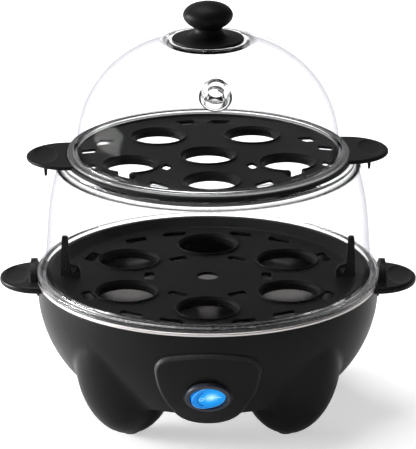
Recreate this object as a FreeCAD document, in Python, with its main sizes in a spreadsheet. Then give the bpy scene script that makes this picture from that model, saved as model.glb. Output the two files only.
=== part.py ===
"""Two-tier electric egg cooker: black base on four legs, two egg trays, clear shell and domed lid."""
import FreeCAD, Part
import math
import os
import re
import Sketcher

# Driving dimensions in millimetres. Heights are above the surface the cooker stands on.
DIMENSIONS = {
    # bowl of the base: one arc turned about the axis, centred at bowl_height
    "bowl_offset": 27.7,
    "bowl_arc": 65.0,
    "bowl_height": 69.0,
    "bowl_bottom": 22.0,
    "rim_height": 73.4,
    "wall": 2.4,
    "floor_rise": 2.2,
    "cover_radius": 67.0,
    "floor_opening": 45.0,
    # legs: egg-shaped lobes leaning outwards
    "leg_pitch": 62.5,
    "leg_height": 45.0,
    "leg_long": 44.8,
    "leg_wide": 26.2,
    "leg_deep": 29.5,
    "leg_lean": 4.6,
    "leg_azimuth": 46.3,
    "leg_top": 66.0,
    "leg_core_top": 58.0,
    "leg_solid_end": 7.0,
    "leg_clearance": 28.6,
    "leg_blend": 10.0,
    "pad_radius": 4.2,
    "pad_depth": 3.0,
    "pad_proud": 0.6,
    # front panel and round rocker switch
    "panel_proud": 2.0,
    "panel_edge": 1.6,
    "switch_height": 37.5,
    "switch_tilt": 33.5,
    "bezel_radius": 12.0,
    "bezel_bore": 9.7,
    "bezel_proud": 1.3,
    "barrel_radius": 10.3,
    "barrel_depth": 15.0,
    "rocker_sphere": 9.55,
    "rocker_radius": 9.2,
    "rocker_face": 2.4,
    "rocker_under": 2.6,
    "rocker_hollow": 46.0,
    "rocker_dip": 0.8,
    "rocker_pivot_depth": 1.0,
    "rocker_swing": 20.0,
    # cord inlet
    "gland_radius": 6.0,
    "cord_radius": 3.4,
    # heating plate
    "plate_floor": 62.0,
    "plate_floor_radius": 76.0,
    "plate_rim_top": 75.2,
    "plate_rim_inner": 86.4,
    "plate_rim_outer": 92.8,
    "plate_sheet": 1.0,
    "spreader_radius": 40.0,
    "spreader_thick": 4.0,
    "element_ring": 30.0,
    "element_tube": 3.2,
    "stud_pitch": 59.0,
    "plate_screw": 2.0,
    "plate_screw_head": 4.0,
    # clear shell of the lower chamber
    "flange_radius": 93.0,
    "flange_top": 78.0,
    "clear_wall": 1.8,
    "rest_gap": 0.3,
    "shell_foot_radius": 90.3,
    "shell_bend_radius": 88.0,
    "shell_bend_height": 109.0,
    "shoulder_radius": 82.4,
    "shoulder_height": 137.2,
    "shell_top": 141.7,
    "shell_top_radius": 79.0,
    "mouth_radius": 74.0,
    # terminal block
    "block_step": 5.5,
    # lower tray
    "tray_rim_radius": 88.0,
    "tray_floor_radius": 80.4,
    "tray_floor_top": 73.2,
    "tray_rim_top": 77.6,
    "tray_thick": 1.6,
    "lower_seat_pitch": 50.5,
    "seat_radius": 15.6,
    "post_top": 96.0,
    "post_place": 77.8,
    # upper tray
    "upper_rim_radius": 77.2,
    "upper_rim_top": 143.7,
    "upper_floor_top": 141.8,
    "upper_floor_radius": 72.0,
    "upper_seat_pitch": 44.0,
    "upper_seat_radius": 13.8,
    "grip_radius": 22.0,
    "upper_grip_place": 75.4,
    "upper_grip_foot": 142.1,
    "upper_grip_thick": 2.3,
    "upper_grip_turn": 1.5,
    "upper_turn": 2.5,
    "base_grip_place": 91.3,
    "base_grip_foot": 70.3,
    "base_grip_thick": 3.6,
    "dish_across": 6.5,
    "dish_along": 14.0,
    "tongue_top": 82.6,
    "tongue_arch": 15.0,
    # lid
    "lid_flange_radius": 75.6,
    "lid_flange_thick": 1.3,
    "dome_radius": 72.0,
    "dome_spring": 148.7,
    "dome_side_arc": 59.0,
    "dome_crown_arc": 125.0,
    "crown_radius": 24.3,
    "crown_height": 206.7,
    "crown_seat": 205.9,
    "collar_radius": 21.8,
    "collar_rise": 1.0,
    "vent_radius": 7.4,
    "vent_bore": 4.6,
    "vent_height": 191.0,
    "vent_proud": 8.0,
    # knob
    "knob_radius": 13.3,
    "knob_middle": 220.1,
    "knob_top": 227.2,
    "neck_radius": 7.5,
    "skirt_radius": 19.2,
    "screw_radius": 1.9,
}

V = FreeCAD.Vector
UP = V(0, 0, 1)
# the edges of a Part::Cylinder, counted from its seam
FOOT_EDGE = 2
TOP_EDGE = 3
doc = FreeCAD.newDocument("egg_cooker")
sheet = doc.addObject("Spreadsheet::Sheet", "Dims")
for row, (word, length) in enumerate(DIMENSIONS.items(), start=1):
    sheet.set(f"A{row}", word)
    sheet.set(f"B{row}", str(length))
    sheet.setAlias(f"B{row}", word)
doc.recompute()


def size(word):
    """The number that the sheet holds under this alias."""
    return float(sheet.get(word))


def bound(text):
    """The expression that reads each dimension named in text from the sheet."""
    def prefixed(found):
        return "Dims." + found[0] if found[0] in DIMENSIONS else found[0]

    return re.sub(r"[a-z]+(?:_[a-z]+)*", prefixed, text)


def number(text):
    """The present value of an expression written with the sheet's words."""
    return float(sheet.evalExpression(text))


def bind(item, name, text):
    """Tie one property to the sheet."""
    item.setExpression(name, bound(text))
    return item


# ---------------------------------------------------------------- sketches and bodies

def arc_between(start, end, radius, turn):
    """The minor arc from start to end; a left turn runs anticlockwise."""
    middle = (start + end) * 0.5
    chord = end - start
    across = V(-chord.y, chord.x, 0).normalize()
    reach = math.sqrt(max(radius ** 2 - (chord.Length / 2) ** 2, 0))
    centre = middle + across * (reach if turn == "left" else -reach)
    first, last = (start, end) if turn == "left" else (end, start)
    angles = [math.atan2(point.y - centre.y, point.x - centre.x) for point in (first, last)]
    return Part.ArcOfCircle(Part.Circle(centre, UP, radius), angles[0], angles[1])


def draw(sketch, outline, closing=()):
    """Draw a closed outline. A corner is (x, y); (x, y, radius, turn) is reached along an arc.
    The last stretch, back to the first corner, is straight unless closing gives its arc."""
    outline = [tuple(outline[0]) + tuple(closing)] + outline[1:]
    corners = [V(number(corner[0]), number(corner[1]), 0) for corner in outline]
    ends = []
    for index, corner in enumerate(corners):
        following = outline[(index + 1) % len(outline)]
        target = corners[(index + 1) % len(corners)]
        if len(following) == 2:
            edge = sketch.addGeometry(Part.LineSegment(corner, target), False)
            ends.append((edge, 1, 2))
        else:
            radius, turn = following[2:]
            edge = sketch.addGeometry(arc_between(corner, target, number(radius), turn), False)
            ends.append((edge, 1, 2) if turn == "left" else (edge, 2, 1))
            place = sketch.addConstraint(Sketcher.Constraint("Radius", edge, number(radius)))
            sketch.setExpression(f"Constraints[{place}]", bound(radius))
    for index, (edge, first, last) in enumerate(ends):
        neighbour = ends[(index + 1) % len(ends)]
        sketch.addConstraint(Sketcher.Constraint("Coincident", edge, last, neighbour[0], neighbour[1]))
        for kind, axis, text, length in (("DistanceX", -2, outline[index][0], corners[index].x),
                                         ("DistanceY", -1, outline[index][1], corners[index].y)):
            if abs(length) < 1e-9:
                sketch.addConstraint(Sketcher.Constraint("PointOnObject", edge, first, axis))
            else:
                place = sketch.addConstraint(Sketcher.Constraint(kind, -1, 1, edge, first, length))
                sketch.setExpression(f"Constraints[{place}]", bound(text))


def sketched_body(name, plane, outline, closing=()):
    """A PartDesign body with one closed sketch on one of its origin planes."""
    body = doc.addObject("PartDesign::Body", name)
    base = next(item for item in body.Origin.OriginFeatures if item.Role == plane)
    sketch = body.newObject("Sketcher::SketchObject", name + "_outline")
    sketch.AttachmentSupport = [(base, "")]
    sketch.MapMode = "FlatFace"
    draw(sketch, outline, closing)
    return body, sketch


def turned(name, outline):
    """A body turned about the vertical axis from an outline of (radius, height) corners."""
    body, sketch = sketched_body(name, "XZ_Plane", outline)
    turn = body.newObject("PartDesign::Revolution", name + "_turn")
    turn.Profile = sketch
    turn.ReferenceAxis = (sketch, ["V_Axis"])
    turn.Angle = 360
    return body


def padded(name, plane, outline, depth, closing=()):
    """A body padded evenly to both sides of one of its origin planes."""
    body, sketch = sketched_body(name, plane, outline, closing)
    pad = body.newObject("PartDesign::Pad", name + "_pad")
    pad.Profile = sketch
    bind(pad, "Length", depth)
    pad.Midplane = True
    return body


# ---------------------------------------------------------------- primitives and booleans

def facing(point, direction):
    """A placement at point whose Z axis runs along direction."""
    return FreeCAD.Placement(point, FreeCAD.Rotation(UP, direction))


def cylinder(name, radius, height, place):
    item = doc.addObject("Part::Cylinder", name)
    bind(item, "Radius", radius)
    bind(item, "Height", height)
    item.Placement = place
    return item


def cone(name, foot, tip, height, place):
    item = doc.addObject("Part::Cone", name)
    bind(item, "Radius1", foot)
    bind(item, "Radius2", tip)
    bind(item, "Height", height)
    item.Placement = place
    return item


def box(name, length, width, height, corner):
    item = doc.addObject("Part::Box", name)
    bind(item, "Length", length)
    bind(item, "Width", width)
    bind(item, "Height", height)
    item.Placement.Base = corner
    return item


def layer(name, low, high):
    """Everything between two heights."""
    return box(name, str(WIDE), str(WIDE), str(high - low), V(-WIDE / 2, -WIDE / 2, low))


def rounded(name, item, edges, radius):
    """The same solid with some of its edges filleted."""
    doc.recompute()
    fillet = doc.addObject("Part::Fillet", name)
    fillet.Base = item
    fillet.Edges = [(edge, radius, radius) for edge in edges]
    return fillet


def upright_edges(item):
    """The numbers of a straight-sided solid's vertical edges."""
    doc.recompute()
    upright = []
    for index, edge in enumerate(item.Shape.Edges, start=1):
        start, end = (vertex.Point for vertex in edge.Vertexes)
        if abs((end - start).normalize().z) > 0.99:
            upright.append(index)
    return upright


def fused(name, items):
    union = doc.addObject("Part::MultiFuse", name)
    union.Shapes = items
    return union


def shared(name, items):
    common = doc.addObject("Part::MultiCommon", name)
    common.Shapes = items
    return common


def cut(name, base, tools):
    """The base with every tool taken away."""
    difference = doc.addObject("Part::Cut", name)
    difference.Base = base
    difference.Tool = tools[0] if len(tools) == 1 else fused(name + "_tools", tools)
    return difference


def at(radius, azimuth, height):
    """A point by its distance from the axis, its azimuth in degrees from +X, and its height."""
    angle = math.radians(azimuth)
    return V(radius * math.cos(angle), radius * math.sin(angle), height)


def on_bowl(azimuth, height, proud, tilt=None):
    """A placement on the bowl's outside: Z runs out of it, or at a tilt, and Y runs up along it."""
    fall = math.asin((size("bowl_height") - height) / (size("bowl_arc") + proud))
    reach = size("bowl_offset") + (size("bowl_arc") + proud) * math.cos(fall)
    if tilt is not None:
        fall = math.radians(tilt)
    outward = at(math.cos(fall), azimuth, -math.sin(fall))
    upward = at(math.sin(fall), azimuth, math.cos(fall))
    turn = FreeCAD.Rotation(upward.cross(outward), upward, outward, "ZYX")
    return FreeCAD.Placement(at(reach, azimuth, height), turn)


def shifted(place, x, y, z):
    """A placement moved along its own axes."""
    return place * FreeCAD.Placement(V(x, y, z), FreeCAD.Rotation())


FRONT = -90
REAR = 90
SWITCH = on_bowl(FRONT, size("switch_height"), size("panel_proud"), size("switch_tilt"))
INLET_HEIGHT = 36.0
INLET = on_bowl(REAR, INLET_HEIGHT, 0)
LEG_AZIMUTHS = [side * size("leg_azimuth") + turn for turn in (0, 180) for side in (-1, 1)]
STUD_AZIMUTHS = (90, 188, 352)
COVER_SCREW_AZIMUTHS = (0, 90, 180, 270)
COVER_SCREW_PITCH = 49.5
HANDLE_SCREW_HEIGHT = 69.5
HANDLE_SCREW_ACROSS = 10.0
STRAP_SCREW_ACROSS = 20.0
BLOCK_LEFT = -34.0
BLOCK_REAR = 57.0
BUZZER = V(21, 55, 0)
# larger than the cooker, for boxes that only keep or cut away one side of a solid
WIDE = 250.0
# a small screw: its shank, the hole it bites, the hole it passes through and its head, as radii
SHANK = "1.45"
SHANK_HOLE = "1.5"
SHANK_PASS = "1.7"
HEAD = "2.8"
nodes = {}


def node(name, item):
    """Register a finished piece under the name that its file gets."""
    item.Label = name
    nodes[name] = item
    return item


# ---------------------------------------------------------------- base housing

def bowl_solid(name, offset, low, high):
    """The bowl filled with material between two heights, its arc offset outwards."""
    arc = f"bowl_arc + {offset}"
    reach = "bowl_offset + sqrt(({0})^2 - (bowl_height - ({1}))^2)"
    return turned(name, [
        ("0", low),
        (reach.format(arc, low), low),
        (reach.format(arc, high), high, arc, "left"),
        ("0", high),
    ])


def floor_top():
    """The height of the housing's floor inside."""
    return size("bowl_bottom") + size("floor_rise") + size("wall")


def leg_lobe(name, azimuth, inset):
    """One egg-shaped lobe, smaller all round by inset, its upper end leaning outwards."""
    lobe = doc.addObject("Part::Ellipsoid", name)
    bind(lobe, "Radius1", f"leg_long - {inset}")
    bind(lobe, "Radius2", f"leg_deep - {inset}")
    bind(lobe, "Radius3", f"leg_wide - {inset}")
    lobe.Angle1 = -90
    lobe.Angle2 = 90
    # the half turn puts the lobe's seam inside the bowl, clear of the blend
    swing = FreeCAD.Rotation(UP, azimuth) * FreeCAD.Rotation(V(0, 1, 0), size("leg_lean"))
    swing = swing * FreeCAD.Rotation(UP, 180)
    lobe.Placement = FreeCAD.Placement(at(size("leg_pitch"), azimuth, size("leg_height")), swing)
    return lobe


def floor_outline(name, radius, clearance, low, height):
    """A round slab with a bay cut for each leg."""
    slab = cylinder(name + "_disc", radius, height, facing(V(0, 0, low), UP))
    bays = []
    for index, azimuth in enumerate(LEG_AZIMUTHS):
        foot = at(size("leg_pitch"), azimuth, low - 1)
        bays.append(cylinder(f"{name}_bay{index}", clearance, height + " + 2", facing(foot, UP)))
    return cut(name, slab, bays)


def base_housing():
    """Moulded bowl and hollow legs, with a floor ledge that takes the bottom cover."""
    wall = size("wall")
    low = size("bowl_bottom")
    ledge = low + size("floor_rise")
    outer = [bowl_solid("bowl_outer", "0", "bowl_bottom", "rim_height")]
    hollow = [bowl_solid("bowl_inner", "-wall", "bowl_bottom + floor_rise + wall", "rim_height + 1")]
    for index, azimuth in enumerate(LEG_AZIMUTHS):
        stem = layer(f"leg_keep{index}", -10, size("leg_top"))
        outer.append(shared(f"leg_outer{index}", [leg_lobe(f"leg{index}", azimuth, "0"), stem]))
        core = leg_lobe(f"leg_core{index}", azimuth, "wall")
        keep = layer(f"leg_core_keep{index}", size("leg_solid_end"), size("leg_core_top"))
        hollow.append(shared(f"leg_hollow{index}", [core, keep]))
    slabs = [
        floor_outline("cover_recess", "cover_radius", "leg_clearance", low - 1, "floor_rise + 1"),
        floor_outline("floor_hole", "floor_opening", "leg_clearance + 3", ledge - 1, "wall + 2"),
        layer("under_legs", -20, size("pad_proud")),
    ]
    pad_holes = []
    for index, azimuth in enumerate(LEG_AZIMUTHS):
        place = facing(pad_place(azimuth), UP)
        pad_holes.append(cylinder(f"pad_hole{index}", "pad_radius + 0.1", "pad_depth", place))
    shell = cut("housing_shell", blended_legs(fused("housing_lobed", outer)), hollow + slabs + pad_holes)
    bosses = []
    bores = []
    for index, azimuth in enumerate(STUD_AZIMUTHS):
        foot = at(size("stud_pitch"), azimuth, ledge + wall - 0.5)
        bosses.append(cylinder(f"stud_boss{index}", "5", "24", facing(foot, UP)))
        place = facing(at(size("stud_pitch"), azimuth, low), UP)
        bores.append(cylinder(f"stud_bore{index}", "plate_screw + 0.3", "60", place))
    for index, azimuth in enumerate(COVER_SCREW_AZIMUTHS):
        spot = at(COVER_SCREW_PITCH, azimuth, ledge)
        bosses.append(cylinder(f"cover_boss{index}", "4", "8", facing(spot + V(0, 0, wall - 0.5), UP)))
        bores.append(cylinder(f"cover_bore{index}", SHANK_HOLE, "9", facing(spot - V(0, 0, 1), UP)))
    bores.append(cylinder("switch_hole", "barrel_radius + 0.2", "30", shifted(SWITCH, 0, 0, -20)))
    bores.append(cylinder("inlet_hole", "gland_radius + 0.1", "20", shifted(INLET, 0, 0, -10)))
    for side in (-1, 1):
        for across in (-1, 1):
            spot = V(side * 80, across * HANDLE_SCREW_ACROSS, HANDLE_SCREW_HEIGHT)
            place = facing(spot, V(side, 0, 0))
            bores.append(cylinder(f"handle_bore{side + 1}{across + 1}", SHANK_PASS, "20", place))
    return node("base_housing", cut("housing", fused("housing_bossed", [shell] + bosses), bores))


def blended_legs(lobed):
    """The lobed bowl with a soft fillet where each leg runs up the bowl's side."""
    doc.recompute()
    low = size("bowl_bottom")
    seams = []
    for index, edge in enumerate(lobed.Shape.Edges, start=1):
        bounds = edge.BoundBox
        climbs = abs(bounds.ZMin - low) < 0.1 and low + 20 < bounds.ZMax < size("rim_height") - 5
        off_axis = abs(edge.CenterOfMass.x) > 20 and abs(edge.CenterOfMass.y) > 20
        if climbs and off_axis:
            seams.append(index)
    return rounded("housing_outer", lobed, seams, size("leg_blend"))


def pad_place(azimuth):
    """The centre of a leg's underside, below the lowest point of its leaning lobe."""
    lean = math.radians(size("leg_lean"))
    half = math.hypot(size("leg_long") * math.cos(lean), size("leg_deep") * math.sin(lean))
    drift = (size("leg_long") ** 2 - size("leg_deep") ** 2) * math.sin(lean) * math.cos(lean) / half
    return at(size("leg_pitch") - drift, azimuth, 0)


def foot_pads():
    """Four rubber discs let into the legs' ends."""
    return node("foot_pads", fused("pads", [
        cylinder(f"pad{index}", "pad_radius", "pad_depth", facing(pad_place(azimuth), UP))
        for index, azimuth in enumerate(LEG_AZIMUTHS)]))


def bottom_cover():
    """Clover-shaped cover, flush with the bowl's underside, with four countersunk screws."""
    low = size("bowl_bottom")
    slab = floor_outline("cover_slab", "cover_radius - 0.4", "leg_clearance + 0.4",
                         low + 0.2, "floor_rise - 0.2")
    spots = [at(COVER_SCREW_PITCH, azimuth, low + 0.2) for azimuth in COVER_SCREW_AZIMUTHS]
    holes = [cone(f"cover_hole{index}", "3.2", "1.7", "floor_rise", facing(spot, UP))
             for index, spot in enumerate(spots)]
    access = []
    for index, azimuth in enumerate(STUD_AZIMUTHS):
        place = facing(at(size("stud_pitch"), azimuth, low - 1), UP)
        access.append(cylinder(f"stud_access{index}", "plate_screw_head + 0.4", "6", place))
    node("bottom_cover", cut("cover", slab, holes + access))
    screws = []
    for index, spot in enumerate(spots):
        screws.append(cone(f"cover_head{index}", "3.1", "1.6", "floor_rise - 0.3", facing(spot, UP)))
        screws.append(cylinder(f"cover_shank{index}", SHANK, "8", facing(spot, UP)))
    node("cover_screws", fused("cover_fixings", screws))


# ---------------------------------------------------------------- front panel and switch

def front_panel():
    """Shield-shaped plate that follows the bowl and hangs a little below it."""
    shield = padded("shield", "XZ_Plane", [
        ("0", "13.6"),
        ("19", "26.6", "20.4", "left"),
        ("27.6", "50.5", "52", "left"),
        ("21.5", "61.4", "9", "left"),
        ("-21.5", "61.4", "88", "left"),
        ("-27.6", "50.5", "9", "left"),
        ("-19", "26.6", "52", "left"),
    ], "240", ("20.4", "left"))
    front = box("front_half", str(WIDE), str(WIDE), str(WIDE), V(-WIDE / 2, -WIDE - size("bowl_offset"), 0))
    # the skin starts just clear of the bowl
    skin = cut("panel_skin", bowl_solid("panel_outer", "panel_proud", "12", "68"),
               [bowl_solid("panel_inner", "0.05", "11", "69")])
    plate = shared("panel_plate", [shield, skin, front])
    doc.recompute()
    face_arc = size("bowl_arc") + size("panel_proud")
    border = []
    for index, edge in enumerate(plate.Shape.Edges, start=1):
        middle = edge.valueAt((edge.FirstParameter + edge.LastParameter) / 2)
        across = math.hypot(middle.x, middle.y) - size("bowl_offset")
        reach = math.hypot(across, middle.z - size("bowl_height"))
        if abs(reach - face_arc) < 0.02:
            border.append(index)
    soft = rounded("panel_soft", plate, border, size("panel_edge"))
    seat = cylinder("bezel_seat", "bezel_radius + 0.15", "10", shifted(SWITCH, 0, 0, -1.0))
    bore = cylinder("panel_bore", "barrel_radius + 0.2", "20", shifted(SWITCH, 0, 0, -10))
    node("front_panel", cut("panel", soft, [seat, bore]))


def switch():
    """Round rocker switch: framed barrel with three blades, a lamp and the rocker on its pivot."""
    ring = cylinder("bezel_ring", "bezel_radius", "bezel_proud + 0.9", shifted(SWITCH, 0, 0, -0.9))
    soft_ring = rounded("bezel_soft", ring, [TOP_EDGE], 0.7)
    mouth = cylinder("bezel_mouth", "bezel_bore", "10", shifted(SWITCH, 0, 0, -5))
    node("switch_bezel", cut("bezel", soft_ring, [mouth]))

    depth = size("barrel_depth")
    barrel = cylinder("barrel", "barrel_radius", "barrel_depth - 0.9", shifted(SWITCH, 0, 0, -depth))
    well = cylinder("barrel_well", "bezel_bore", "20", shifted(SWITCH, 0, 0, -7.5))
    socket = cylinder("lamp_socket", "2.1", "5", shifted(SWITCH, 0, 0, -11.5))
    node("switch_body", cut("barrel_cut", barrel, [well, socket]))
    stem = cylinder("lamp_stem", "2", "5.2", shifted(SWITCH, 0, 0, -11.5))
    node("indicator_lamp", rounded("lamp", stem, [TOP_EDGE], 1.2))

    blades = []
    for index, across in enumerate((-5.5, 0, 5.5)):
        blade = box(f"blade{index}", "0.8", "4.8", "7", V(0, 0, 0))
        blade.Placement = shifted(SWITCH, across - 0.4, -2.4, -depth - 7)
        blades.append(blade)
    node("switch_terminals", fused("blades", blades))

    pivot = shifted(SWITCH, 0, 0, -size("rocker_pivot_depth"))
    pressed = pivot * FreeCAD.Placement(V(), FreeCAD.Rotation(V(0, 1, 0), size("rocker_swing") / 2))
    ball = doc.addObject("Part::Sphere", "rocker_ball")
    bind(ball, "Radius", "rocker_sphere")
    ball.Placement = pressed
    disc = cylinder("rocker_disc", "rocker_radius", "rocker_face + rocker_under",
                    shifted(pressed, 0, 0, -size("rocker_under")))
    blank = shared("rocker_blank", [rounded("rocker_edge", disc, [TOP_EDGE], 0.7), ball])
    hollow = size("rocker_hollow")
    middle = shifted(pressed, 0, -20, size("rocker_face") - size("rocker_dip") + hollow)
    dip = cylinder("rocker_dip", "rocker_hollow", "40", middle * facing(V(), V(0, 1, 0)))
    node("switch_rocker", cut("rocker", blank, [dip]))


# ---------------------------------------------------------------- base handles and cord inlet

def base_handles():
    """Oval tabs at both sides, each with an upright tongue that holds the clear flange central."""
    flange = size("flange_radius")
    tongue_top = size("tongue_top")
    screws = []
    for side, name in ((-1, "left_base_handle"), (1, "right_base_handle")):
        place = facing(V(side * size("base_grip_place"), 0, size("base_grip_foot")), UP)
        blank = cylinder(name + "_blank", "grip_radius", "base_grip_thick", place)
        tab = rounded(name + "_tab", blank, [FOOT_EDGE, TOP_EDGE], 1.4)
        face = size("base_grip_foot") + size("base_grip_thick")
        dish = thumb_dish(name + "_dish", 1.0, V(side * 104.0, 0, face))
        band = turned(name + "_band", [
            ("flange_radius - 2", "67"),
            ("flange_radius + 0.4", "67"),
            ("flange_radius + 4.4", "71", "6", "right"),
            ("flange_radius + 3.6", "tongue_top - 1.2"),
            ("flange_radius + 2.4", "tongue_top", "1.2", "left"),
            ("flange_radius + 1.6", "tongue_top"),
            ("flange_radius + 0.4", "tongue_top - 1.2", "1.2", "left"),
            ("flange_radius - 2", "tongue_top - 1.2"),
        ])
        root = V(side * (flange - 8), 0, tongue_top - size("tongue_arch"))
        arch = cylinder(name + "_arch", "tongue_arch", "20", facing(root, V(side, 0, 0)))
        skirt = box(name + "_skirt", "20", "2 * tongue_arch", "tongue_arch",
                    V(side * (flange - 8) - (20 if side < 0 else 0), -size("tongue_arch"),
                      tongue_top - 2 * size("tongue_arch")))
        outline = fused(name + "_outline_solid", [arch, skirt])
        tongue = shared(name + "_tongue", [band, outline])
        inside = turned(name + "_inside", [
            ("0", "60"),
            ("bowl_offset + sqrt((bowl_arc + 0.05)^2 - (bowl_height - 60)^2)", "60"),
            ("bowl_offset + sqrt((bowl_arc + 0.05)^2 - (bowl_height - rim_height)^2)", "rim_height",
             "bowl_arc + 0.05", "left"),
            ("flange_radius + 0.4", "rim_height"),
            ("flange_radius + 0.4", "90"),
            ("0", "90"),
        ])
        bores = []
        for across in (-1, 1):
            spot = V(side * 87.3, across * HANDLE_SCREW_ACROSS, HANDLE_SCREW_HEIGHT)
            inwards = facing(spot, V(side, 0, 0))
            bores.append(cylinder(f"{name}_bore{across + 1}", SHANK_HOLE, "8.2", inwards))
            screws.append(cylinder(f"{name}_head{across + 1}", HEAD, "1.6", inwards))
            screws.append(cylinder(f"{name}_shank{across + 1}", SHANK, "8", inwards))
        whole = fused(name + "_whole", [tab, tongue])
        node(name, cut(name + "_cut", whole, [inside, dish] + bores))
    node("handle_screws", fused("handle_fixings", screws))


def thumb_dish(name, depth, middle):
    """A shallow oval hollow in the top of a grip."""
    dish = doc.addObject("Part::Ellipsoid", name)
    dish.Radius1 = depth
    dish.Radius2 = size("dish_across")
    dish.Radius3 = size("dish_along")
    dish.Angle1 = -90
    dish.Placement.Base = middle
    return dish


def cord_gland():
    """Moulded grommet at the rear, where the mains cord comes in."""
    sleeve = cylinder("gland_sleeve", "gland_radius", "8", shifted(INLET, 0, 0, -5))
    flange = cylinder("gland_flange", "gland_radius + 3", "2.4", shifted(INLET, 0, 0, 0.6))
    collar = rounded("gland_collar", flange, [TOP_EDGE], 0.9)
    keeper = cylinder("gland_keeper", "gland_radius + 2", "1.6", shifted(INLET, 0, 0, -5))
    bore = cylinder("gland_bore", "cord_radius", "30", shifted(INLET, 0, 0, -15))
    node("cord_gland", cut("gland", fused("gland_body", [sleeve, collar, keeper]), [bore]))


# ---------------------------------------------------------------- heating plate and its parts

def heating_plate():
    """Pressed stainless dish whose rolled rim carries the tray and the clear shell."""
    node("heating_plate", turned("plate", [
        ("0", "plate_floor - plate_sheet"),
        ("plate_floor_radius + 0.5", "plate_floor - plate_sheet"),
        ("plate_rim_inner + 0.6", "plate_rim_top - plate_sheet"),
        ("plate_rim_outer - plate_sheet", "plate_rim_top - plate_sheet"),
        ("plate_rim_outer - plate_sheet", "rim_height + 0.2"),
        ("plate_rim_outer", "rim_height + 0.2"),
        ("plate_rim_outer", "plate_rim_top - 0.9"),
        ("plate_rim_outer - 0.9", "plate_rim_top", "0.9", "left"),
        ("plate_rim_inner + 0.9", "plate_rim_top"),
        ("plate_rim_inner - 0.2", "plate_rim_top - 0.9", "1.3", "left"),
        ("plate_floor_radius + 2", "plate_floor + 2.4"),
        ("plate_floor_radius - 3", "plate_floor", "6.5", "right"),
        ("0", "plate_floor"),
    ]))
    node("plate_seal", turned("seal", [
        ("88.4", "rim_height"),
        ("91.4", "rim_height"),
        ("91.4", "plate_rim_top - plate_sheet"),
        ("88.4", "plate_rim_top - plate_sheet"),
    ]))


def heater():
    """Cast spreader under the plate with its tubular element."""
    under = size("plate_floor") - size("plate_sheet")
    face = under - size("spreader_thick")
    disc = cylinder("spreader_disc", "spreader_radius", "spreader_thick", facing(V(0, 0, face), UP))
    bosses = []
    holes = []
    for side in (-1, 1):
        spot = V(side * STRAP_SCREW_ACROSS, 0, face - 8.5)
        bosses.append(cylinder(f"strap_boss{side + 1}", "3", "8.6", facing(spot, UP)))
        holes.append(cylinder(f"strap_hole{side + 1}", SHANK_HOLE, "8", facing(spot - V(0, 0, 0.1), UP)))
    node("heat_spreader", cut("spreader", fused("spreader_whole", [disc] + bosses), holes))

    ring = doc.addObject("Part::Torus", "element_ring_tube")
    bind(ring, "Radius1", "element_ring")
    bind(ring, "Radius2", "element_tube")
    ring.Angle3 = 300
    drop = face - size("element_tube") - 0.02
    ring.Placement = FreeCAD.Placement(V(0, 0, drop), FreeCAD.Rotation(UP, 120))
    ends = [at(size("element_ring"), azimuth, drop) for azimuth in (60, 120)]
    tube = [ring]
    for index, spot in enumerate(ends):
        tube.append(cylinder(f"element_tail{index}", "element_tube", "9", facing(spot - V(0, 0, 9), UP)))
        elbow = doc.addObject("Part::Sphere", f"element_elbow{index}")
        bind(elbow, "Radius", "element_tube")
        elbow.Placement.Base = spot
        tube.append(elbow)
    node("heating_element", fused("element", tube))
    blades = []
    for index, spot in enumerate(ends):
        blades.append(box(f"element_blade{index}", "0.8", "5", "9", spot + V(-0.4, -2.5, -18)))
    node("element_terminals", fused("element_blades", blades))


def thermostat():
    """Snap disc held up against the spreader by a strap, and the thermal fuse beside it."""
    face = size("plate_floor") - size("plate_sheet") - size("spreader_thick")
    node("thermostat", fused("thermostat_body", [
        cylinder("thermostat_can", "8", "4.5", facing(V(0, 0, face - 4.5), UP)),
        cylinder("thermostat_base", "7", "3.9", facing(V(0, 0, face - 8.4), UP)),
    ]))
    strap = box("strap", "52", "12", "1", V(-26, -6, face - 9.5))
    soft_strap = rounded("strap_soft", strap, upright_edges(strap), 2.5)
    holes = []
    screws = []
    for side in (-1, 1):
        spot = V(side * STRAP_SCREW_ACROSS, 0, face - 11.5)
        holes.append(cylinder(f"strap_clear{side + 1}", SHANK_PASS, "4", facing(spot, UP)))
        screws.append(cylinder(f"strap_head{side + 1}", HEAD, "2", facing(spot, UP)))
        screws.append(cylinder(f"strap_shank{side + 1}", SHANK, "9", facing(spot, UP)))
    node("thermostat_bracket", cut("strap_cut", soft_strap, holes))
    node("bracket_screws", fused("strap_fixings", screws))
    fuse = cylinder("fuse_body", "2", "14", facing(V(-7, -16, face - 2.05), V(1, 0, 0)))
    node("thermal_fuse", rounded("fuse", fuse, [FOOT_EDGE, TOP_EDGE], 0.8))


def plate_fixings():
    """Three standoffs under the plate and the long screws that draw it down on to its seal."""
    under = size("plate_floor") - size("plate_sheet")
    studs = []
    bores = []
    screws = []
    for index, azimuth in enumerate(STUD_AZIMUTHS):
        spot = at(size("stud_pitch"), azimuth, 0)
        studs.append(cylinder(f"stud{index}", "4", "10", facing(spot + V(0, 0, under - 10), UP)))
        thread = facing(spot + V(0, 0, under - 11), UP)
        bores.append(cylinder(f"stud_thread{index}", "plate_screw + 0.02", "8", thread))
        head = facing(spot + V(0, 0, size("bowl_bottom") + 0.4), UP)
        screws.append(cylinder(f"plate_head{index}", "plate_screw_head", "1.8", head))
        screws.append(cylinder(f"plate_shank{index}", "plate_screw", "34", head))
    node("plate_studs", cut("studs", fused("stud_blanks", studs), bores))
    node("plate_screws", fused("plate_fixing_screws", screws))


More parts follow.
